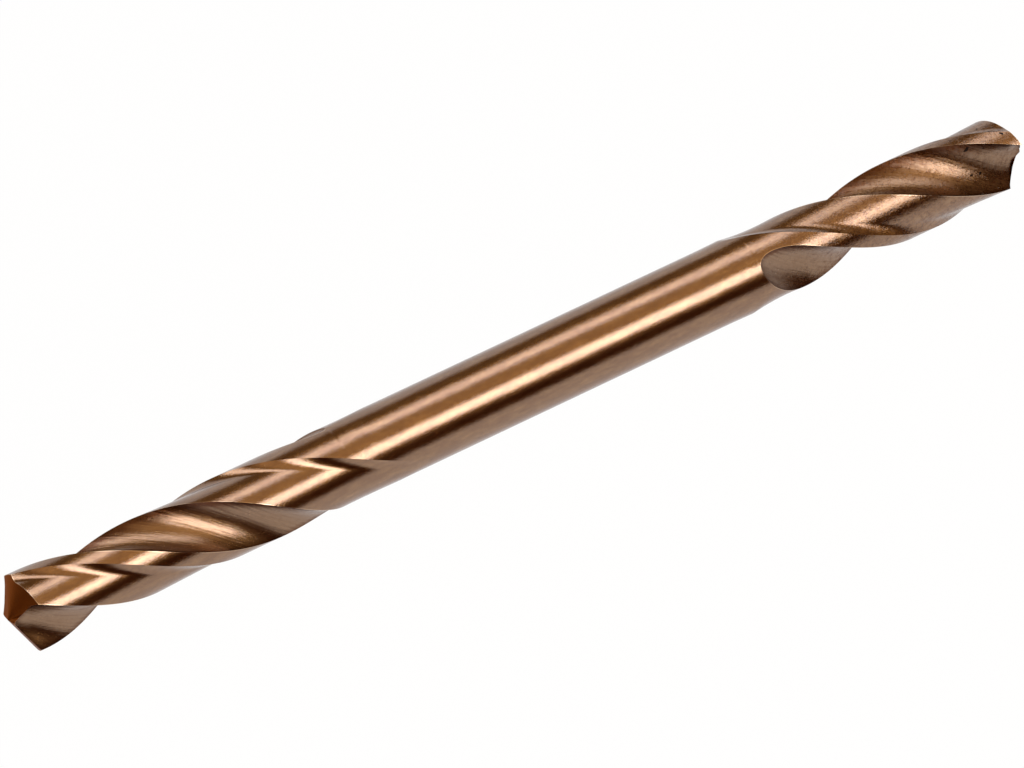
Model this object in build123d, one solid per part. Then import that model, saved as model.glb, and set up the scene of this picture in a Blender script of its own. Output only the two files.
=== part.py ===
from build123d import *
import os
from math import ceil, cos, radians, sin, tan
from types import SimpleNamespace

# A double-ended twist drill, ground from one solid rod: a plain shank in the middle, and at
# each end a body with two right-hand helical flutes and a relieved point. It lies along X,
# with its origin on the axis at half its length. Angles round the axis run from +Y to +Z.

# Rod, in millimetres
drill_diameter = 3.5
shank_diameter = 3.45
overall_length = 50.5
shoulder_length = 1.2

# Flutes and lands, in millimetres and degrees
helix_lead = 21.9
land_angle = 90.0
web_thickness = 1.48
web_thinning_length = 3.5
margin_angle = 22.0

# Clearance behind the margins, and chisel edges
clearance_depth = 0.24
clearance_angle = 128.0
chisel_edge_angle = 52.0
chisel_slope_angle = 6.0

# Left end, lengths from the tip of its point
left_point_angle = 135.0
left_lip_angle = 149.1
left_lip_relief_angle = 7.0
left_point_web_thickness = 1.05
left_body_length = 17.45
left_flute_length = 16.05
left_flute_runout = 9.8
left_clearance_length = 19.65
left_clearance_runout = 5.0

# Right end, ground flatter and with a thinner web
right_point_angle = 150.0
right_lip_angle = 130.0
right_lip_relief_angle = 15.5
right_point_web_thickness = 0.8
right_body_length = 14.25
right_flute_length = 13.9
right_flute_runout = 2.4
right_clearance_length = 14.65
right_clearance_runout = 2.4

# How finely the ground faces are followed, and how far a cutter passes the metal
station_turn = 11.0
runout_overrun = 0.1
heel_overrun_angle = 28.0
point_overrun = 1.2
cutter_overrun = 0.6

drill_radius = drill_diameter / 2
shank_radius = shank_diameter / 2
tip_x = overall_length / 2
flute_angle = 180 - land_angle

left_end = SimpleNamespace(
    rim_x=tip_x - drill_radius / tan(radians(left_point_angle / 2)),
    point_angle=left_point_angle,
    lip_angle=left_lip_angle,
    relief_angle=left_lip_relief_angle,
    point_web=left_point_web_thickness / 2,
    flute_length=left_flute_length,
    flute_runout=left_flute_runout,
    clearance_length=left_clearance_length,
    clearance_runout=left_clearance_runout,
)
right_end = SimpleNamespace(
    rim_x=tip_x - drill_radius / tan(radians(right_point_angle / 2)),
    point_angle=right_point_angle,
    lip_angle=right_lip_angle,
    relief_angle=right_lip_relief_angle,
    point_web=right_point_web_thickness / 2,
    flute_length=right_flute_length,
    flute_runout=right_flute_runout,
    clearance_length=right_clearance_length,
    clearance_runout=right_clearance_runout,
)


def across(x, angle):
    """Plane across the drill at x, with its own x direction pointing out at the angle."""
    out = (0, cos(radians(angle)), sin(radians(angle)))
    return Plane(origin=(x, 0, 0), x_dir=out, z_dir=(1, 0, 0))


def lip_turn(end, x):
    """Where the leading edge of the first land stands at x: the helix through the lip."""
    return end.lip_angle + 360 * (x - end.rim_x) / helix_lead


def stations(start, turn):
    """Places along the axis from start to just past the tip, about one turn step apart."""
    stop = tip_x + cutter_overrun
    count = ceil((stop - start) / (helix_lead * turn / 360))
    return [start + (stop - start) * i / count for i in range(count + 1)]


def runout_lift(x, full_depth_x, runout, depth):
    """Height of a grinding wheel above its full depth, which grows as it leaves the metal."""
    left = (full_depth_x - x) / runout
    return depth * left ** 2 if left > 0 else 0


def web_radius(end, x):
    """Half of the web, which is thinned over the last stretch before the rim."""
    behind = (end.rim_x - x) / web_thinning_length
    thinning = web_thickness / 2 - end.point_web
    if behind >= 1:
        return web_thickness / 2
    return web_thickness / 2 - thinning * (1 - max(behind, 0)) ** 2


def flute_circle(web):
    """Centre distance and radius of the round flute between two lands, for a half web."""
    opening = cos(radians(flute_angle / 2))
    centre = (drill_radius ** 2 - web ** 2) / (2 * (drill_radius * opening - web))
    return centre, centre - web


def flute_cutter(end):
    """Metal that the grinding wheel takes out of the flute ahead of the lip."""
    start = tip_x - end.flute_length
    depth = drill_radius - web_thickness / 2
    sections = []
    for x in stations(start - runout_overrun * end.flute_runout, station_turn):
        centre, radius = flute_circle(web_radius(end, x))
        lift = runout_lift(x, start + end.flute_runout, end.flute_runout, depth)
        wheel = ThreePointArc((0, -radius), (-radius, 0), (0, radius))
        back = Polyline((0, radius), (radius, radius), (radius, -radius), (0, -radius))
        plane = across(x, lip_turn(end, x) + flute_angle / 2)
        sections.append(plane * Pos(centre + lift, 0) * make_face([wheel, back]))
    return loft(sections)


def clearance_cutter(end):
    """Metal ground off behind the margin: deepest at the margin and gone after its angle."""
    start = tip_x - end.clearance_length
    runout = end.clearance_runout
    width = (1 + runout_overrun) * clearance_angle
    sections = []
    for x in stations(start - runout_overrun * runout, station_turn):
        lift = runout_lift(x, start + runout, runout, clearance_depth)
        step_radius = drill_radius - clearance_depth + lift
        far_radius = drill_radius + runout_overrun * clearance_depth + lift
        outer_radius = drill_radius + cutter_overrun + lift
        step = Vector(step_radius, 0)
        middle = Vector((step_radius + far_radius) / 2, 0).rotate(Axis.Z, -width / 2)
        far = Vector(far_radius, 0).rotate(Axis.Z, -width)
        outer = [Vector(outer_radius, 0).rotate(Axis.Z, -width * i / 2) for i in range(3)]
        outline = [
            ThreePointArc(step, middle, far),
            Line(far, outer[2]),
            ThreePointArc(outer[2], outer[1], outer[0]),
            Line(outer[0], step),
        ]
        plane = across(x, lip_turn(end, x) - margin_angle)
        sections.append(plane * make_face(outline))
    return loft(sections)


def point_cutter(end):
    """Metal outside the point: a cone whose slope grows behind each lip, up to the heel."""
    flank_angle = land_angle + heel_overrun_angle
    lip_slope = 1 / tan(radians(end.point_angle / 2))
    heel_slope = lip_slope + tan(radians(end.relief_angle)) * radians(flank_angle)
    chisel_slope = tan(radians(chisel_slope_angle))
    depth = point_overrun * heel_slope * drill_radius
    chisel = Vector(depth / chisel_slope, 0).rotate(Axis.Z, chisel_edge_angle)
    lip = Vector(depth / lip_slope, 0)
    middle = Vector(2 * depth / (lip_slope + heel_slope), 0).rotate(Axis.Z, -flank_angle / 2)
    heel = Vector(depth / heel_slope, 0).rotate(Axis.Z, -flank_angle)
    flank = Line(chisel, lip) + ThreePointArc(lip, middle, heel) + Line(heel, -chisel)
    outline = make_face(flank + flank.rotate(Axis.Z, 180))
    base = across(tip_x - depth, end.lip_angle) * outline
    metal = loft([base, Vertex(tip_x, 0, 0)], ruled=True)
    blank = across(tip_x - depth, 0) * Circle(drill_radius + cutter_overrun)
    return extrude(blank, depth + cutter_overrun) - metal


def both_sides(cutter):
    """A cutter and its copy on the opposite side of the axis."""
    return [cutter, cutter.rotate(Axis.X, 180)]


def cutters(end):
    """All the metal that is ground away at one end, as if it pointed along +X."""
    return both_sides(flute_cutter(end)) + both_sides(clearance_cutter(end)) + [point_cutter(end)]


def rod():
    """The turned rod, a little slimmer between its two fluted bodies."""
    left_shoulder = left_body_length - tip_x
    right_shoulder = tip_x - right_body_length
    outline = Polyline(
        (-tip_x, 0),
        (-tip_x, drill_radius),
        (left_shoulder, drill_radius),
        (left_shoulder + shoulder_length, shank_radius),
        (right_shoulder - shoulder_length, shank_radius),
        (right_shoulder, drill_radius),
        (tip_x, drill_radius),
        (tip_x, 0),
        close=True,
    )
    return revolve(make_face(outline), Axis.X)


def drill_bit():
    """The finished drill."""
    drill = rod()
    for cutter in cutters(right_end):
        drill = drill - cutter
    for cutter in cutters(left_end):
        drill = drill - cutter.rotate(Axis.Z, 180)
    return drill.solids().sort_by(SortBy.VOLUME)[-1]


os.makedirs("parts", exist_ok=True)
bit = drill_bit()
export_step(bit, "parts/drill_bit.step")
print("drill_bit", round(bit.volume, 3), "mm3")
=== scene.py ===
from math import cos, pi, radians, sin, tan

import bpy
from mathutils import Matrix, Vector


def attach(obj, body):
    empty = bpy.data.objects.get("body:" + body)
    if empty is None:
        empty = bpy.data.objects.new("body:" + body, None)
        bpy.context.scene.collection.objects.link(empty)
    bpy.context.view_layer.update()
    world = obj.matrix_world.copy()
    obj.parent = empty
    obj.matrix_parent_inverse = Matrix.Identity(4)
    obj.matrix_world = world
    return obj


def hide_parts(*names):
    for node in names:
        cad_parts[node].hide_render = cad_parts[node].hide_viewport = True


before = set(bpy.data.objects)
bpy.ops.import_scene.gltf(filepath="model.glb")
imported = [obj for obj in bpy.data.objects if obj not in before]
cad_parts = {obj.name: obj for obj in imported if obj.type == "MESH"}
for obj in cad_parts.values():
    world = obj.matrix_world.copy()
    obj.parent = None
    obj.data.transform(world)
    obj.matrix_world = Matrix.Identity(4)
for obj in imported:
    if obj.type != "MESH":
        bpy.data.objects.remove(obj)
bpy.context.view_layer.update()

# Camera: a long lens about 0.44 m away, looking down at the drill from its left front, so
# that the left point is a little nearer than the right one.
MM = 0.001
SENSOR_WIDTH = 36.0
FOCAL_LENGTH = 361.5
NEAREST_SEEN = 0.02
FARTHEST_SEEN = 20.0
lens_data = bpy.data.cameras.new("photo_lens")
lens_data.sensor_width = SENSOR_WIDTH
lens_data.lens = FOCAL_LENGTH
lens_data.clip_start = NEAREST_SEEN
lens_data.clip_end = FARTHEST_SEEN
camera = bpy.data.objects.new("photo_camera", lens_data)
camera_place = Vector((-150.225, -241.475, 332.990)) * MM
camera_right = Vector((0.849917, -0.526917, 0.0000951))
camera_up = Vector((0.400829, 0.646654, 0.648980))
camera_back = -Vector((0.342020, 0.551541, -0.760805))
turn = Matrix((camera_right, camera_up, camera_back)).transposed()
camera.matrix_world = Matrix.Translation(camera_place) @ turn.to_4x4()
bpy.context.scene.collection.objects.link(camera)
bpy.context.scene.camera = camera


# Drill: one rod of cobalt high-speed steel with a bronze oxide finish. Both ends are ground
# the same way: two right-hand helical flutes, relieved lands that leave a narrow margin
# beside each cutting edge, and a flat point with a chisel edge. Sizes are in millimetres.
ROD_SIZES = {
    "Drill radius": 1.75,
    "Shank radius": 1.725,
    "Tip": 25.25,
    "Shoulder length": 1.2,
    "Helix lead": 21.9,
    "Half web": 0.74,
    "Web thinning length": 3.5,
    "Margin angle": 22.0,
    "Margin wall angle": 18.0,
    "Clearance depth": 0.24,
    "Clearance half angle": 70.4,
    "Chisel edge angle": 52.0,
    "Chisel slope angle": 6.0,
    "Heel angle": 118.0,
}
LEFT_END_SIZES = {
    "Point angle": 135.0,
    "Lip angle": 149.1,
    "Lip relief angle": 7.0,
    "Point half web": 0.525,
    "Body length": 17.45,
    "Flute length": 16.05,
    "Flute run-out": 9.8,
    "Clearance length": 19.65,
    "Clearance run-out": 5.0,
}
RIGHT_END_SIZES = {
    "Point angle": 150.0,
    "Lip angle": 130.0,
    "Lip relief angle": 15.5,
    "Point half web": 0.4,
    "Body length": 14.25,
    "Flute length": 13.9,
    "Flute run-out": 2.4,
    "Clearance length": 14.65,
    "Clearance run-out": 2.4,
}
END_SIZES = [*ROD_SIZES, *LEFT_END_SIZES]

# Columns of the mesh over half a turn, in the order that they come round the drill, and its
# rings from the middle of the shank to the tip. The wall is the step behind the margin.
LAND_COLUMNS = 14
WALL_COLUMNS = 8
MARGIN_COLUMNS = 7
FLUTE_COLUMNS = 48
HALF_COLUMNS = LAND_COLUMNS + WALL_COLUMNS + MARGIN_COLUMNS + FLUTE_COLUMNS
SHANK_RINGS = 10
SHOULDER_RINGS = 30
BODY_RINGS = 170
POINT_RINGS = 14
RINGS = SHANK_RINGS + SHOULDER_RINGS + BODY_RINGS + POINT_RINGS + 1


class Amount:
    """A number on every point of the mesh. Arithmetic on it adds Math nodes to its tree."""

    def __init__(self, tree, socket):
        self.tree = tree
        self.socket = socket

    def __add__(self, other):
        return work(self.tree, "ADD", self, other)

    def __radd__(self, other):
        return work(self.tree, "ADD", other, self)

    def __sub__(self, other):
        return work(self.tree, "SUBTRACT", self, other)

    def __rsub__(self, other):
        return work(self.tree, "SUBTRACT", other, self)

    def __mul__(self, other):
        return work(self.tree, "MULTIPLY", self, other)

    def __rmul__(self, other):
        return work(self.tree, "MULTIPLY", other, self)

    def __truediv__(self, other):
        return work(self.tree, "DIVIDE", self, other)

    def __rtruediv__(self, other):
        return work(self.tree, "DIVIDE", other, self)


def fill(tree, socket, value):
    """Links a value of the tree to a socket, or writes a plain one into it."""
    if isinstance(value, Amount):
        tree.links.new(value.socket, socket)
    elif isinstance(value, bpy.types.NodeSocket):
        tree.links.new(value, socket)
    else:
        socket.default_value = value


def work(tree, operation, *values):
    """One Math node."""
    node = tree.nodes.new("ShaderNodeMath")
    node.operation = operation
    for socket, value in zip(node.inputs, values):
        fill(tree, socket, value)
    return Amount(tree, node.outputs[0])


def least(first, second):
    return work(first.tree, "MINIMUM", first, second)


def most(first, second):
    return work(first.tree, "MAXIMUM", first, second)


def share(amount):
    """An amount kept between 0 and 1."""
    return least(most(amount, 0.0), 1.0)


def cosine(degrees):
    return work(degrees.tree, "COSINE", degrees * (pi / 180))


def sine(degrees):
    return work(degrees.tree, "SINE", degrees * (pi / 180))


def tangent(degrees):
    return work(degrees.tree, "TANGENT", degrees * (pi / 180))


def arccosine(amount):
    return work(amount.tree, "ARCCOSINE", least(amount, 1.0)) * (180 / pi)


def root(amount):
    return work(amount.tree, "SQRT", most(amount, 0.0))


def direction(up, out):
    """Angle in degrees of a place that lies this far out and this far up."""
    return work(out.tree, "ARCTAN2", up, out) * (180 / pi)


def wrap(amount, low, high):
    return work(amount.tree, "WRAP", amount, high, low)


def ease(amount):
    """Goes from 0 to 1 slowly at both ends."""
    kept = share(amount)
    return kept * kept * (3.0 - 2.0 * kept)


def new_group(title, inputs, outputs):
    """An empty node group with float inputs, and outputs given as name and socket type."""
    tree = bpy.data.node_groups.new(title, "GeometryNodeTree")
    for name, kind in outputs.items():
        tree.interface.new_socket(name=name, in_out="OUTPUT", socket_type=kind)
    for name in inputs:
        tree.interface.new_socket(name=name, in_out="INPUT", socket_type="NodeSocketFloat")
    given = tree.nodes.new("NodeGroupInput")
    results = tree.nodes.new("NodeGroupOutput").inputs
    return tree, {name: Amount(tree, given.outputs[name]) for name in inputs}, results


def use_group(tree, group, values):
    """A group node with its inputs filled by name."""
    node = tree.nodes.new("GeometryNodeGroup")
    node.node_tree = group
    for name, value in values.items():
        fill(tree, node.inputs[name], value)
    return node.outputs


# The section of a ground end at a place along it. Angles are measured from the leading edge
# of a land, forwards into the flute ahead of it.
COLUMN_PLACE = ["Land share", "Wall share", "Margin share", "Flute share", "Half turns"]
section_group, size, section_out = new_group(
    "Ground section",
    ["Along", *COLUMN_PLACE, *END_SIZES],
    {"Radius": "NodeSocketFloat", "Turn": "NodeSocketFloat", "Across": "NodeSocketFloat"},
)
along = size["Along"]
radius = size["Drill radius"]
rim = size["Tip"] - radius / tangent(size["Point angle"] / 2.0)
body_start = size["Tip"] - size["Body length"]
from_shoulder = (along - body_start) / size["Shoulder length"] + 1.0
rod_radius = size["Shank radius"] + (radius - size["Shank radius"]) * share(from_shoulder)

thinning = 1.0 - share((rim - along) / size["Web thinning length"])
half_web = size["Half web"] - (size["Half web"] - size["Point half web"]) * thinning * thinning

# The wheel's edge is a circle that touches the web and meets the rod at both lands.
LAND_ANGLE = 90.0
HALF_TURN = 180.0
FLUTE_MIDDLE = (HALF_TURN - LAND_ANGLE) / 2
flute_opening = radius * cos(radians(FLUTE_MIDDLE))
wheel_place = (radius * radius - half_web * half_web) / (2.0 * (flute_opening - half_web))
wheel_radius = wheel_place - half_web
flute_start = size["Tip"] - size["Flute length"]
flute_left = most((flute_start - along) / size["Flute run-out"] + 1.0, 0.0)
wheel_centre = wheel_place + (radius - size["Half web"]) * flute_left * flute_left

clearance_start = size["Tip"] - size["Clearance length"]
clearance_left = most((clearance_start - along) / size["Clearance run-out"] + 1.0, 0.0)
clearance_lift = size["Clearance depth"] * clearance_left * clearance_left
RUNOUT_OVERRUN = 0.1


def land_radius(turn):
    """Radius outside the flutes: the rod, less what is ground off behind the margin."""
    behind = wrap(-1.0 * size["Margin angle"] - turn, 0.0, HALF_TURN)
    growth = (0.5 + RUNOUT_OVERRUN / 2) * size["Clearance depth"]
    rise = 1.0 - cosine(behind) + sine(behind) / tangent(size["Clearance half angle"])
    ground = radius - size["Clearance depth"] + clearance_lift + growth * rise
    above_foot = 1.0 - share(behind / size["Margin wall angle"])
    wall = 1.0 - above_foot * above_foot
    return rod_radius + (least(ground, rod_radius) - rod_radius) * wall


def edge_on_wheel(metal_radius):
    """Angle round the wheel from its deepest place to where it leaves metal of this radius."""
    squares = wheel_centre * wheel_centre + wheel_radius * wheel_radius
    outside = metal_radius * metal_radius
    return arccosine((squares - outside) / (2.0 * wheel_centre * wheel_radius))


def turn_on_wheel(wheel_turn):
    """Angle round the drill, from the flute's middle, of a place on the wheel's edge."""
    inwards = wheel_radius * cosine(wheel_turn)
    return direction(wheel_radius * sine(wheel_turn), wheel_centre - inwards)


# The land's radius at its heel depends on where the heel is, so that is found step by step.
HEEL_STEPS = 3
lead_wheel = edge_on_wheel(rod_radius)
heel_wheel = lead_wheel
for _ in range(HEEL_STEPS):
    heel_wheel = edge_on_wheel(land_radius(FLUTE_MIDDLE + turn_on_wheel(heel_wheel)))

# Where there is no flute yet, its columns spread out evenly over the same quarter turn.
COLUMN_SPREAD = 2.0
spread = FLUTE_MIDDLE * ease((flute_start - along) / COLUMN_SPREAD)
lead_edge = turn_on_wheel(lead_wheel) + spread
heel_edge = turn_on_wheel(heel_wheel) + spread

heel_turn = heel_edge - (HALF_TURN - FLUTE_MIDDLE)
wall_foot = -1.0 * size["Margin angle"] - size["Margin wall angle"]
lead_turn = FLUTE_MIDDLE - lead_edge
wheel_turn = size["Flute share"] * (lead_wheel + heel_wheel) - lead_wheel
from_middle = turn_on_wheel(wheel_turn) + spread * (2.0 * size["Flute share"] - 1.0)
column_turn = (
    heel_turn
    + size["Land share"] * (wall_foot - heel_turn)
    + size["Wall share"] * size["Margin wall angle"]
    + size["Margin share"] * (lead_turn + size["Margin angle"])
    + (from_middle + lead_edge)
    + size["Half turns"] * HALF_TURN
)
flute_radius = root(
    wheel_centre * wheel_centre
    + wheel_radius * wheel_radius
    - 2.0 * wheel_centre * wheel_radius * cosine(wheel_turn)
)

# The helix starts where the clearance or the shoulder does. Behind it the columns run straight.
straight_until = least(clearance_start, body_start - size["Shoulder length"])
helix = size["Lip angle"] + 360.0 * (most(along, straight_until) - rim) / size["Helix lead"]
fill(section_group, section_out["Radius"], least(flute_radius, land_radius(column_turn)))
fill(section_group, section_out["Turn"], helix + column_turn)
fill(section_group, section_out["Across"], wheel_radius * wheel_turn * (pi / 180))

# How steeply the point falls away from the tip, by the angle round the axis. Each flank
# starts at its lip, grows steeper towards its heel and then eases into the chisel edge, where
# it meets the flat that lies ahead of the other lip.
slope_group, size, slope_out = new_group(
    "Point slope", ["Turn", *END_SIZES], {"Slope": "NodeSocketFloat"}
)
FLANK_ANGLE = 96.0
behind_lip = wrap(
    size["Lip angle"] - size["Turn"],
    -1.0 * size["Chisel edge angle"],
    HALF_TURN - size["Chisel edge angle"],
)
lip_slope = 1.0 / tangent(size["Point angle"] / 2.0)
heel_slope = lip_slope + tangent(size["Lip relief angle"]) * size["Heel angle"] * (pi / 180)
chisel_slope = tangent(size["Chisel slope angle"])


def flat(first_turn, first_slope, second_turn, second_slope):
    """Slope of the flat through the tip that holds two lines of known slope."""
    between = sine(second_turn - first_turn)
    return (
        first_slope * sine(second_turn - behind_lip)
        + second_slope * sine(behind_lip - first_turn)
    ) / between


AT_LIP = 0.0
flank_slope = lip_slope + (heel_slope - lip_slope) * share(behind_lip / size["Heel angle"])
chisel_turn = -1.0 * size["Chisel edge angle"]
ahead_slope = flat(AT_LIP, lip_slope, chisel_turn, chisel_slope)
is_ahead = work(slope_group, "LESS_THAN", behind_lip, AT_LIP)
next_chisel = HALF_TURN - size["Chisel edge angle"]
to_chisel = ease((behind_lip - FLANK_ANGLE) / (next_chisel - FLANK_ANGLE))
slope = (
    flank_slope
    + is_ahead * (ahead_slope - flank_slope)
    + to_chisel * (chisel_slope - flank_slope)
)
fill(slope_group, slope_out["Slope"], slope)

# One ground end, from the middle of the shank to the tip, pointing along +X. A flat grid is
# bent into it: its rows become rings, and its columns run from the shank to the tip.
end_group, size, end_out = new_group("Ground end", END_SIZES, {"Geometry": "NodeSocketGeometry"})
columns = 2 * HALF_COLUMNS
sheet = end_group.nodes.new("GeometryNodeMeshGrid")
sheet.inputs["Vertices X"].default_value = RINGS
sheet.inputs["Vertices Y"].default_value = columns + 1
index = Amount(end_group, end_group.nodes.new("GeometryNodeInputIndex").outputs[0])
ring = work(end_group, "FLOOR", (index + 0.5) / (columns + 1.0))
column = index - ring * (columns + 1.0)
half_turns = work(end_group, "FLOOR", (column + 0.5) / HALF_COLUMNS)
in_half = column - half_turns * HALF_COLUMNS


def eased_share(first, count):
    """Place inside one run of columns, closer together near its two ends."""
    return 0.5 - 0.5 * work(end_group, "COSINE", share((in_half - first) / count) * pi)


wall_first = LAND_COLUMNS
margin_first = wall_first + WALL_COLUMNS
flute_first = margin_first + MARGIN_COLUMNS
place = {
    "Land share": eased_share(0, LAND_COLUMNS),
    "Wall share": share((in_half - wall_first) / WALL_COLUMNS),
    "Margin share": eased_share(margin_first, MARGIN_COLUMNS),
    "Flute share": eased_share(flute_first, FLUTE_COLUMNS),
    "Half turns": half_turns,
}


def section_at(x):
    return use_group(end_group, section_group, {"Along": x, **place, **size})


def slope_at(turn):
    found = use_group(end_group, slope_group, {"Turn": turn, **size})
    return Amount(end_group, found["Slope"])


# The rim is where the point cuts the flutes and lands, and is found step by step.
RIM_STEPS = 12
rim_along = size["Tip"] - size["Drill radius"] / tangent(size["Point angle"] / 2.0)
for _ in range(RIM_STEPS):
    on_rim = section_at(rim_along)
    rim_along = size["Tip"] - slope_at(on_rim["Turn"]) * Amount(end_group, on_rim["Radius"])

# Where the rings stand. Each stretch starts at its own ring, and the body's rings stand
# closer together towards its inner end.
SHANK_SPARE = 0.2
BODY_CROWDING = 1.3
SHOULDER_RING = SHANK_RINGS
BODY_RING = SHOULDER_RING + SHOULDER_RINGS
RIM_RING = BODY_RING + BODY_RINGS
shoulder_start = size["Tip"] - size["Body length"] - size["Shoulder length"]
shank_end = least(shoulder_start, size["Tip"] - size["Clearance length"]) - SHANK_SPARE
flute_start = size["Tip"] - size["Flute length"]
shank_share = share(ring / SHANK_RINGS)
shoulder_share = share((ring - SHOULDER_RING) / SHOULDER_RINGS)
body_share = work(end_group, "POWER", share((ring - BODY_RING) / BODY_RINGS), BODY_CROWDING)
point_share = share((ring - RIM_RING) / POINT_RINGS)
ring_along = (
    shank_end * shank_share
    + (flute_start - shank_end) * shoulder_share
    + (rim_along - flute_start) * body_share
)
on_ring = section_at(ring_along)
ring_radius, ring_turn, ring_across = (
    Amount(end_group, on_ring[name]) for name in ("Radius", "Turn", "Across")
)
point_radius = ring_radius * (1.0 - point_share)
on_point = work(end_group, "GREATER_THAN", point_share, 0.0)

# On the point the columns run in from the rim to the axis, and bend away from the hollow lips.
CORE_LAND = 74.0
land_middle = size["Lip angle"] - LAND_ANGLE / 2
core_turn = (
    land_middle
    - CORE_LAND / 2
    + CORE_LAND * share(in_half / flute_first)
    + (HALF_TURN - CORE_LAND) * place["Flute share"]
    + HALF_TURN * half_turns
)
left_to_bend = 1.0 - point_share
bent = 1.0 - left_to_bend * left_to_bend * left_to_bend
point_turn = ring_turn + bent * (core_turn - ring_turn)
point_along = size["Tip"] - slope_at(point_turn) * point_radius
final_along = ring_along + on_point * (point_along - ring_along)

# Half way along the shank the columns stand evenly, so that the two ends meet corner to corner.
COLUMN_STEP = 360.0 / columns
first_column = use_group(end_group, section_group, {"Along": shank_end, **size})
first_turn = Amount(end_group, first_column["Turn"])
even_turn = work(end_group, "SNAP", first_turn, COLUMN_STEP) + column * COLUMN_STEP
final_turn = even_turn + ease(ring_along / shank_end) * (point_turn - even_turn)

corner = end_group.nodes.new("ShaderNodeCombineXYZ")
fill(end_group, corner.inputs["X"], final_along * MM)
fill(end_group, corner.inputs["Y"], point_radius * cosine(final_turn) * MM)
fill(end_group, corner.inputs["Z"], point_radius * sine(final_turn) * MM)
shaped = end_group.nodes.new("GeometryNodeSetPosition")
fill(end_group, shaped.inputs["Geometry"], sheet.outputs["Mesh"])
fill(end_group, shaped.inputs["Position"], corner.outputs[0])
here = end_group.nodes.new("GeometryNodeInputPosition").outputs[0]


def gap_to(corner_index):
    """Distance in millimetres from each corner of the mesh to another one."""
    there = end_group.nodes.new("GeometryNodeFieldAtIndex")
    there.data_type = "FLOAT_VECTOR"
    there.domain = "POINT"
    fill(end_group, there.inputs["Index"], corner_index)
    fill(end_group, there.inputs["Value"], here)
    gap = end_group.nodes.new("ShaderNodeVectorMath")
    gap.operation = "DISTANCE"
    fill(end_group, gap.inputs[0], here)
    fill(end_group, gap.inputs[1], there.outputs["Value"])
    return Amount(end_group, gap.outputs["Value"]) / MM


# Edges: the two sides of each land, and the rim of the point.
NO_EDGE = 9.0
half_start = ring * (columns + 1.0) + half_turns * HALF_COLUMNS
edge_gap = gap_to(half_start)
for side_column in (flute_first, HALF_COLUMNS):
    edge_gap = least(edge_gap, gap_to(half_start + side_column))
before_flute = work(end_group, "LESS_THAN", ring_along, flute_start)
rim_gap = gap_to(RIM_RING * (columns + 1.0) + column)
edge_gap = least(edge_gap + NO_EDGE * most(before_flute, on_point), rim_gap)

# Faces are counted ring by ring too, one fewer in each ring than the corners.
face_ring = work(end_group, "FLOOR", (index + 0.5) / columns)
face_in_half = work(end_group, "MODULO", index - face_ring * columns, HALF_COLUMNS)
past_start = work(end_group, "GREATER_THAN", face_ring, BODY_RING - 0.5)
on_flank = work(end_group, "GREATER_THAN", face_ring, RIM_RING - 0.5)
in_flute = work(end_group, "GREATER_THAN", face_in_half, flute_first - 0.5)
fluted = in_flute * past_start * (1.0 - on_flank)


def at_points(value):
    """The value worked out at the points of the mesh, whatever it is then stored on."""
    node = end_group.nodes.new("GeometryNodeFieldOnDomain")
    node.data_type = "FLOAT"
    node.domain = "POINT"
    fill(end_group, node.inputs[0], value)
    return node.outputs[0]


# What the material reads: two marks on the faces, and three measures at their corners.
kept = {
    "flute": ("FACE", fluted),
    "flank": ("FACE", on_flank),
    "edge_gap": ("CORNER", at_points(edge_gap)),
    "along": ("CORNER", at_points(final_along)),
    "across": ("CORNER", at_points(ring_across)),
}
surface = shaped.outputs["Geometry"]
for name, (domain, value) in kept.items():
    stored = end_group.nodes.new("GeometryNodeStoreNamedAttribute")
    stored.data_type = "FLOAT"
    stored.domain = domain
    stored.inputs["Name"].default_value = name
    fill(end_group, stored.inputs["Geometry"], surface)
    fill(end_group, stored.inputs["Value"], value)
    surface = stored.outputs["Geometry"]
outwards = end_group.nodes.new("GeometryNodeFlipFaces")
fill(end_group, outwards.inputs["Mesh"], surface)
fill(end_group, end_out["Geometry"], outwards.outputs["Mesh"])

# The whole drill: the right end, and the left end turned round to point along -X. It is
# closed where they meet, and its ground edges stay crisp.
SEAM_GAP = 0.00005 * MM
CRISP_ANGLE = 24.0
left_names = {f"Left {name.lower()}": name for name in LEFT_END_SIZES}
right_names = {f"Right {name.lower()}": name for name in RIGHT_END_SIZES}
drill_tree, size, drill_out = new_group(
    "Double-ended drill",
    [*ROD_SIZES, *left_names, *right_names],
    {"Geometry": "NodeSocketGeometry"},
)


def whole_end(names):
    """One end of the drill, with the rod's sizes and its own ones."""
    end_values = {name: size[name] for name in ROD_SIZES}
    end_values.update({name: size[title] for title, name in names.items()})
    return use_group(drill_tree, end_group, end_values)["Geometry"]


left_end = whole_end(left_names)
right_end = whole_end(right_names)
turned_round = drill_tree.nodes.new("GeometryNodeTransform")
turned_round.inputs["Rotation"].default_value = (0.0, 0.0, pi)
fill(drill_tree, turned_round.inputs["Geometry"], left_end)
joined = drill_tree.nodes.new("GeometryNodeJoinGeometry")
fill(drill_tree, joined.inputs["Geometry"], turned_round.outputs["Geometry"])
fill(drill_tree, joined.inputs["Geometry"], right_end)
closed = drill_tree.nodes.new("GeometryNodeMergeByDistance")
fill(drill_tree, closed.inputs["Geometry"], joined.outputs["Geometry"])
closed.inputs["Distance"].default_value = SEAM_GAP
smooth = drill_tree.nodes.new("GeometryNodeSetShadeSmooth")
smooth.domain = "FACE"
fill(drill_tree, smooth.inputs["Geometry"], closed.outputs["Geometry"])
bend = drill_tree.nodes.new("GeometryNodeInputMeshEdgeAngle")
crisp = drill_tree.nodes.new("GeometryNodeSetShadeSmooth")
crisp.domain = "EDGE"
soft_edge = drill_tree.nodes.new("FunctionNodeCompare")
soft_edge.data_type = "FLOAT"
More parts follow.
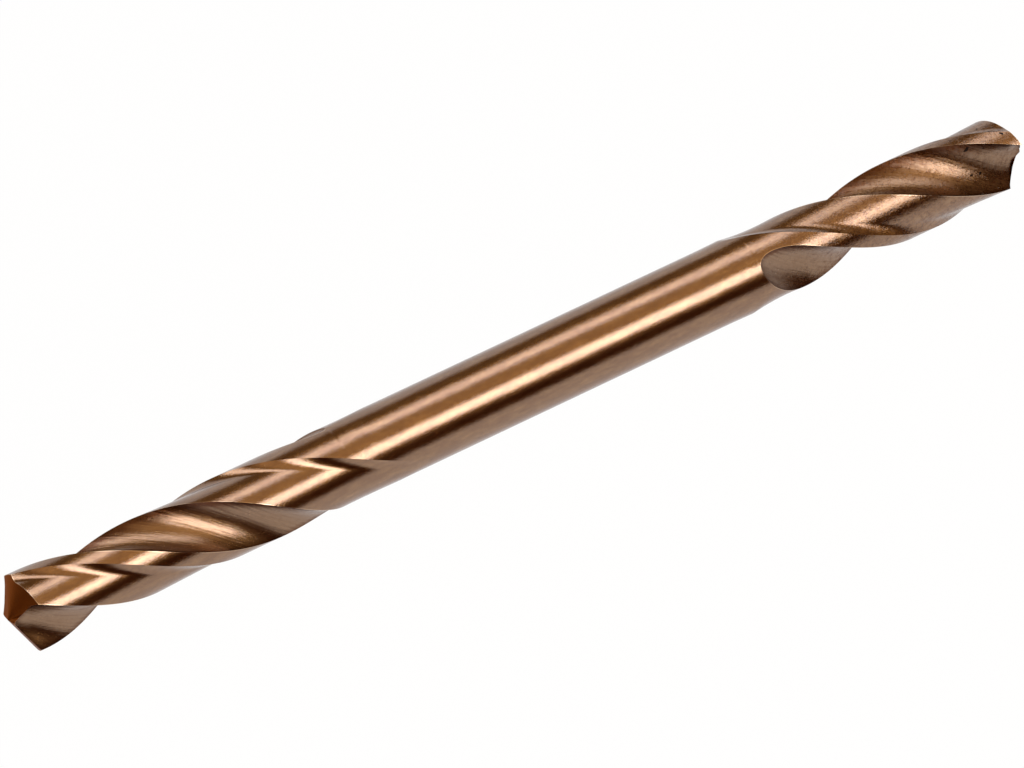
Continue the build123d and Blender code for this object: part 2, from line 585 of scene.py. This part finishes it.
soft_edge.operation = "LESS_THAN"
fill(drill_tree, soft_edge.inputs["A"], bend.outputs["Unsigned Angle"])
soft_edge.inputs["B"].default_value = radians(CRISP_ANGLE)
fill(drill_tree, crisp.inputs["Geometry"], smooth.outputs["Geometry"])
fill(drill_tree, crisp.inputs["Shade Smooth"], soft_edge.outputs["Result"])
made_real = drill_tree.nodes.new("GeometryNodeRealizeInstances")
fill(drill_tree, made_real.inputs["Geometry"], crisp.outputs["Geometry"])
finished = drill_tree.nodes.new("GeometryNodeSetMaterial")
fill(drill_tree, finished.inputs["Geometry"], made_real.outputs["Geometry"])
fill(drill_tree, drill_out["Geometry"], finished.outputs["Geometry"])

# Finish of the drill: bronze-coloured oxide on ground steel, under a thin film of oil. The
# flutes keep the wheel's marks and carry painted shade along their edges and one side, the
# flanks of the points are dull, and the sharp edges are worn pale, with a painted highlight.
LAND_BRONZE = (0.27, 0.13, 0.04, 1.0)
DARK_BRONZE = (0.18, 0.071, 0.015, 1.0)
FLUTE_BRONZE = (0.21, 0.104, 0.04, 1.0)
SHADE_AND_SPECKLE_BROWN = (0.1, 0.034, 0.01, 1.0)
FLANK_BRONZE = (0.2, 0.052, 0.007, 1.0)
PIT_BROWN = (0.02, 0.012, 0.01, 1.0)
WORN_STEEL_AND_HIGHLIGHT = (0.6, 0.42, 0.27, 1.0)
GRAZING_TINT = (0.62, 0.56, 0.55, 1.0)
bronze = bpy.data.materials.new("bronze_oxide_steel")
bronze.use_nodes = True
paint = bronze.node_tree
shader = paint.nodes["Principled BSDF"]
shader.inputs["Metallic"].default_value = 1.0
shader.inputs["Specular Tint"].default_value = GRAZING_TINT
shader.inputs["Coat Roughness"].default_value = 0.1
shader.inputs["Coat IOR"].default_value = 1.95
shader.inputs["Anisotropic"].default_value = 0.6


def read(name):
    """A number that the mesh carries."""
    node = paint.nodes.new("ShaderNodeAttribute")
    node.attribute_name = name
    return Amount(paint, node.outputs["Fac"])


def vector(x, y, z):
    node = paint.nodes.new("ShaderNodeCombineXYZ")
    for socket, value in zip(node.inputs, (x, y, z)):
        fill(paint, socket, value)
    return node.outputs[0]


def noise(place, scale=1.0, detail=3.0, rough=0.55):
    """Noise between 0 and 1 on coordinates given as a vector."""
    node = paint.nodes.new("ShaderNodeTexNoise")
    fill(paint, node.inputs["Vector"], place)
    node.inputs["Scale"].default_value = scale
    node.inputs["Detail"].default_value = detail
    node.inputs["Roughness"].default_value = rough
    return Amount(paint, node.outputs["Fac"])


def mixed(amount, first, second):
    """Colour between two colours, or two linked colours."""
    node = paint.nodes.new("ShaderNodeMix")
    node.data_type = "RGBA"
    fill(paint, node.inputs[0], amount)
    for socket, value in zip((node.inputs[6], node.inputs[7]), (first, second)):
        fill(paint, socket, value)
    return node.outputs[2]


object_place = paint.nodes.new("ShaderNodeTexCoord").outputs["Object"]
spread_out = paint.nodes.new("ShaderNodeSeparateXYZ")
fill(paint, spread_out.inputs[0], object_place)
rod_x, rod_y, rod_z = (Amount(paint, spread_out.outputs[axis]) * (1 / MM) for axis in "XYZ")


def on_rod(lengthways, sideways):
    """The place on the rod in millimetres, times a number along it and one across it."""
    return vector(rod_x * lengthways, rod_y * sideways, rod_z * sideways)


flute = read("flute")
flank = read("flank")
along_drill = read("along")
across_flute = read("across")
edge_gap = read("edge_gap")

# Wheel marks in the flutes slant across them. On the lands and shank they are hair fine and
# run round the rod, and mottling of the oxide is stretched along it.
MARK_SLANT = radians(31.0)
MARK_LENGTHWAYS = 0.5
MARK_SIDEWAYS = 9.0
mark_long = along_drill * cos(MARK_SLANT) + across_flute * sin(MARK_SLANT)
mark_across = along_drill * sin(MARK_SLANT) - across_flute * cos(MARK_SLANT)
mark_place = vector(mark_long * MARK_LENGTHWAYS, mark_across * MARK_SIDEWAYS, 0.0)
flute_marks = noise(mark_place, detail=4.0, rough=0.6)
rod_marks = noise(on_rod(30.0, 1.2), detail=2.0)
mottle = noise(on_rod(0.9, 3.0), detail=5.0, rough=0.65)
grain = noise(on_rod(1.0, 1.0), scale=16.0, detail=3.0, rough=0.7)

# Fine speckles roughen the whole drill, most of all its right end, where small pits show too.
ROUGH_FROM = 11.0
ROUGH_WITHIN = 6.0
ROUGH_ELSEWHERE = 0.25
PITS_FROM = 21.0
PITS_WITHIN = 1.0
PIT_LEVEL = 0.785
PIT_STEEPNESS = 40.0
more_rough = ease((rod_x - ROUGH_FROM) / ROUGH_WITHIN)
rough_end = ROUGH_ELSEWHERE + (1.0 - ROUGH_ELSEWHERE) * more_rough
speckle = noise(on_rod(1.0, 1.0), scale=5.0, detail=4.0, rough=0.8)
pits = share((noise(on_rod(1.0, 1.5), scale=3.2, detail=0.0) - PIT_LEVEL) * PIT_STEEPNESS)
pitted = pits * ease((rod_x - PITS_FROM) / PITS_WITHIN)

# Colour. Painted shade and dark reflection darken a flute along its edges, and most at one
# side of it: beside the cutting edge at the right end, and beside the heel at the left end.
# Streaks of the wheel marks run through this painted shade.
NOISE_MIDDLE = 0.5
MOTTLE_LEVEL = 0.42
MOTTLE_STEEPNESS = 3.0
SHADE_EDGE_REACH = 0.3
SHADE_SIDE_START = 0.5
SHADE_SIDE_WITHIN = 0.6
SHADE_SHARE = 0.8
STREAK_STRENGTH = 1.6
SPECKLE_STEEPNESS = 5.0
WEAR_AND_HIGHLIGHT_WIDTH = 0.035
WEAR_AND_HIGHLIGHT_LEAST = 0.45
FLUTE_LESS_WEAR_AND_HIGHLIGHT = 0.8
land_colour = mixed(
    share((mottle - MOTTLE_LEVEL) * MOTTLE_STEEPNESS), DARK_BRONZE, LAND_BRONZE
)
# Painted shade in the flutes: near their edges and along one side, broken by streaks of the
# marks.
near_edge = 1.0 - share(edge_gap / SHADE_EDGE_REACH)
toward_shaded_side = across_flute * work(paint, "SIGN", rod_x) * -1.0
side_shade = ease((toward_shaded_side - SHADE_SIDE_START) / SHADE_SIDE_WITHIN)
streaks = (NOISE_MIDDLE - flute_marks) * STREAK_STRENGTH
flute_shade_and_streaks = share(SHADE_SHARE * near_edge + SHADE_SHARE * side_shade + streaks)
flute_colour = mixed(flute_shade_and_streaks, FLUTE_BRONZE, SHADE_AND_SPECKLE_BROWN)
ground_colour = mixed(flute, land_colour, flute_colour)
ground_colour = mixed(flank, ground_colour, FLANK_BRONZE)
speckled = share(rough_end * (NOISE_MIDDLE - speckle) * SPECKLE_STEEPNESS)
ground_colour = mixed(speckled, ground_colour, SHADE_AND_SPECKLE_BROWN)
# Pale lines along the sharp edges: partly worn steel, partly a painted highlight; fainter on the
# flute side.
wear_and_edge_highlight = share(1.0 - edge_gap / WEAR_AND_HIGHLIGHT_WIDTH) * share(WEAR_AND_HIGHLIGHT_LEAST + grain)
wear_and_edge_highlight = wear_and_edge_highlight * (1.0 - FLUTE_LESS_WEAR_AND_HIGHLIGHT * flute)
ground_colour = mixed(wear_and_edge_highlight, ground_colour, WORN_STEEL_AND_HIGHLIGHT)
ground_colour = mixed(pitted, ground_colour, PIT_BROWN)
fill(paint, shader.inputs["Base Color"], ground_colour)

# Roughness: what each mark adds to the smooth rod.
ROD_ROUGHNESS = 0.16
MOTTLE_ROUGHNESS = 0.08
MARK_ROUGHNESS = 0.1
FLUTE_SMOOTHER = 0.05
GRAIN_ROUGHNESS = 0.08
FLANK_ROUGHNESS = 0.12
SPECKLE_ROUGHNESS = 0.08
roughness = (
    ROD_ROUGHNESS
    + MOTTLE_ROUGHNESS * mottle
    + flute * (MARK_ROUGHNESS * flute_marks - FLUTE_SMOOTHER)
    + GRAIN_ROUGHNESS * grain
    + FLANK_ROUGHNESS * flank
    + SPECKLE_ROUGHNESS * rough_end * speckle
)
fill(paint, shader.inputs["Roughness"], share(roughness))

# The shine is drawn out across the marks: along the rod, and aslant in the flutes.
GRAIN_SLANT = radians(37.6)
AXIS_GUARD = 0.0001
reach = root(rod_y * rod_y + rod_z * rod_z) + AXIS_GUARD
drawn_along = 1.0 - flute * (1.0 - sin(GRAIN_SLANT))
drawn_round = flute * (-cos(GRAIN_SLANT))
across_marks = paint.nodes.new("ShaderNodeVectorTransform")
across_marks.vector_type = "VECTOR"
across_marks.convert_from = "OBJECT"
across_marks.convert_to = "WORLD"
fill(
    paint,
    across_marks.inputs[0],
    vector(drawn_along, -1.0 * drawn_round * rod_z / reach, drawn_round * rod_y / reach),
)
fill(paint, shader.inputs["Tangent"], across_marks.outputs[0])

# Relief of the marks, grain, speckles and pits, in parts of its depth.
RELIEF_DEPTH = 0.0055 * MM
ROD_MARK_HEIGHT = 0.35
ROD_MARK_BASE = 0.325
FLUTE_MARK_GAIN = 1.6
GRAIN_HEIGHT = 0.9
SPECKLE_HEIGHT = 3.0
PIT_DEPTH = 3.0
marks = flute * flute_marks + (1.0 - flute) * (ROD_MARK_HEIGHT * rod_marks + ROD_MARK_BASE)
height = (
    marks * (1.0 + FLUTE_MARK_GAIN * flute)
    + GRAIN_HEIGHT * grain
    + rough_end * SPECKLE_HEIGHT * speckle
    - PIT_DEPTH * pitted
)
relief = paint.nodes.new("ShaderNodeBump")
relief.inputs["Strength"].default_value = 1.0
relief.inputs["Distance"].default_value = RELIEF_DEPTH
fill(paint, relief.inputs["Height"], height)
fill(paint, shader.inputs["Normal"], relief.outputs[0])
fill(paint, shader.inputs["Coat Normal"], relief.outputs[0])

# The oil is thinner in the flutes and where painted shade darkens them, thinner still on the
# rough spots of the right end, and gone from the dull flanks and the pits.
FULL_OIL = 0.8
FLUTE_LOSS = 0.2
SHADE_OIL_LOSS = 0.4
FLANK_LOSS = 0.8
ROUGH_LOSS = 0.58
oil = share(
    FULL_OIL
    - flute * (FLUTE_LOSS + SHADE_OIL_LOSS * flute_shade_and_streaks)
    - FLANK_LOSS * flank
    - rough_end * (ROUGH_LOSS - speckle)
)
fill(paint, shader.inputs["Coat Weight"], oil * (1.0 - pitted))
finished.inputs["Material"].default_value = bronze


def made_plain(tree, sizes, name):
    """Runs a tree with its sizes and returns the result as an object with a plain mesh."""
    blank = bpy.data.objects.new(f"{name}_blank", bpy.data.meshes.new(f"{name}_blank"))
    bpy.context.scene.collection.objects.link(blank)
    grinder = blank.modifiers.new("ground", "NODES")
    grinder.node_group = tree
    for item in tree.interface.items_tree:
        if item.in_out == "INPUT" and item.name in sizes:
            grinder[item.identifier] = float(sizes[item.name])
    evaluated = blank.evaluated_get(bpy.context.evaluated_depsgraph_get())
    mesh = bpy.data.meshes.new_from_object(evaluated)
    mesh.name = name
    blank.modifiers.remove(grinder)
    bpy.data.objects.remove(blank)
    piece = bpy.data.objects.new(name, mesh)
    bpy.context.scene.collection.objects.link(piece)
    return piece


drill_sizes = {
    **ROD_SIZES,
    **{title: LEFT_END_SIZES[name] for title, name in left_names.items()},
    **{title: RIGHT_END_SIZES[name] for title, name in right_names.items()},
}
drill = made_plain(drill_tree, drill_sizes, "ground_drill")
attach(drill, "root")
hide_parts("drill_bit")


# Floor: plain white studio paper, some way below the drill, which is held up. It curves up
# into a low wall all round and a taller one behind, and keeps a trace of the drill's shadow.
PAPER_GREY = (0.9, 0.9, 0.9, 1.0)
WHITE_SHARE = 0.96
FLOOR_REACH = 3.0
FLOOR_DROP = 0.06
FLOOR_STEPS = 60
FLAT_SHARE = 0.6
LOW_WALL = 0.3
BACK_WALL = 1.2


def floor_height(x, y):
    """Height of the paper above its flat part."""
    reach = min(1.0, (x * x + y * y) ** 0.5 / FLOOR_REACH)
    rise = max(0.0, (reach - FLAT_SHARE) / (1 - FLAT_SHARE)) ** 2
    behind = max(0.0, y / FLOOR_REACH)
    return rise * (LOW_WALL + (BACK_WALL - LOW_WALL) * behind * behind)


ROW_LENGTH = FLOOR_STEPS + 1
floor_corners = []
floor_faces = []
for i in range(ROW_LENGTH):
    for j in range(ROW_LENGTH):
        x = FLOOR_REACH * (2 * i / FLOOR_STEPS - 1)
        y = FLOOR_REACH * (2 * j / FLOOR_STEPS - 1)
        floor_corners.append((x, y, floor_height(x, y) - FLOOR_DROP))
        if i < FLOOR_STEPS and j < FLOOR_STEPS:
            k = i * ROW_LENGTH + j
            floor_faces.append((k, k + ROW_LENGTH, k + ROW_LENGTH + 1, k + 1))
floor_mesh = bpy.data.meshes.new("paper_floor")
floor_mesh.from_pydata(floor_corners, [], floor_faces)
floor_mesh.shade_smooth()
floor = bpy.data.objects.new("paper_floor", floor_mesh)
bpy.context.scene.collection.objects.link(floor)
paper = bpy.data.materials.new("white_paper")
paper.use_nodes = True
paper_tree = paper.node_tree
paper_tree.nodes.clear()
matt = paper_tree.nodes.new("ShaderNodeBsdfDiffuse")
matt.inputs["Color"].default_value = PAPER_GREY
white = paper_tree.nodes.new("ShaderNodeEmission")
white.inputs["Strength"].default_value = 1.0
path = paper_tree.nodes.new("ShaderNodeLightPath")
seen = Amount(paper_tree, path.outputs["Is Camera Ray"])
for ray in ("Is Glossy Ray", "Is Transmission Ray"):
    seen = most(seen, path.outputs[ray])
blended = paper_tree.nodes.new("ShaderNodeMixShader")
fill(paper_tree, blended.inputs["Fac"], seen * WHITE_SHARE)
fill(paper_tree, blended.inputs[1], matt.outputs[0])
fill(paper_tree, blended.inputs[2], white.outputs[0])
output = paper_tree.nodes.new("ShaderNodeOutputMaterial")
fill(paper_tree, output.inputs["Surface"], blended.outputs[0])
floor_mesh.materials.append(paper)


# Studio light: three long soft boxes of cloth, set as bands over the drill: one in front, one
# above and behind, and a weak warm one overhead. The room round them is dim and warm.
LIGHT_DISTANCE = 1.0
NEUTRAL = (1.0, 1.0, 1.0)
WARM = (1.0, 0.72, 0.4)
DIM_ROOM = (0.26, 0.16, 0.072, 1.0)


def toward(lean, rise):
    """Direction from the drill: lean is towards its right end, rise is up from the front."""
    lean, rise = radians(lean), radians(rise)
    return Vector((sin(lean), -cos(rise) * cos(lean), sin(rise) * cos(lean)))


def soft_box(name, start, stop, width, strength, colour):
    """A long soft light that spans two directions, as wide as an angle."""
    data = bpy.data.lights.new(name, "AREA")
    data.shape = "RECTANGLE"
    first, second = toward(*start), toward(*stop)
    out = (first + second).normalized()
    span = first.angle(second)
    data.size = 2 * LIGHT_DISTANCE * tan(span / 2)
    data.size_y = 2 * LIGHT_DISTANCE * tan(radians(width) / 2)
    data.energy = strength * data.size * data.size_y * pi
    data.color = colour
    lamp = bpy.data.objects.new(name, data)
    length = (second - first).normalized()
    place = Matrix((length, out.cross(length), out)).transposed().to_4x4()
    lamp.matrix_world = Matrix.Translation(out * LIGHT_DISTANCE) @ place
    lamp.visible_camera = False
    bpy.context.scene.collection.objects.link(lamp)


soft_box("front_light", (-20.0, 45.0), (32.0, 47.0), width=22.0, strength=6.5, colour=NEUTRAL)
soft_box("top_light", (-25.0, 130.0), (32.0, 102.5), width=21.0, strength=3.15, colour=NEUTRAL)
soft_box("overhead_light", (-35.0, 78.0), (35.0, 78.0), width=30.0, strength=0.7, colour=WARM)
world = bpy.data.worlds.new("dim_room")
world.use_nodes = True
world.node_tree.nodes["Background"].inputs["Color"].default_value = DIM_ROOM
bpy.context.scene.world = world


# Dark cards: three boards covered with brown felt, standing on the paper beyond the ends of
# the drill and in front of it. They show only in reflections, where they hide paper and room.
FELT_BROWN = (0.08, 0.016, 0.001, 1.0)
FELT_ROUGHNESS = 0.9
felt = bpy.data.materials.new("dark_felt")
felt.use_nodes = True
felt_shader = felt.node_tree.nodes["Principled BSDF"]
felt_shader.inputs["Base Color"].default_value = FELT_BROWN
felt_shader.inputs["Roughness"].default_value = FELT_ROUGHNESS


def dark_card(name, first, second, top):
    """An upright card on the floor, between two points of its plan and up to a height."""
    (ax, ay), (bx, by) = first, second
    foot = -FLOOR_DROP
    card_mesh = bpy.data.meshes.new(name)
    corners = [(ax, ay, foot), (bx, by, foot), (bx, by, top), (ax, ay, top)]
    card_mesh.from_pydata(corners, [], [(0, 1, 2, 3)])
    card_mesh.materials.append(felt)
    card = bpy.data.objects.new(name, card_mesh)
    bpy.context.scene.collection.objects.link(card)
    card.visible_camera = False
    card.visible_shadow = False
    card.visible_diffuse = False


dark_card("left_card", (-0.22, -0.3), (-0.22, 0.35), top=0.2)
dark_card("right_card", (0.4, -0.3), (0.4, 0.3), top=0.2)
dark_card("front_card", (-0.6, -0.45), (0.8, -0.45), top=0.19)
bpy.context.scene.view_settings.view_transform = "Standard"
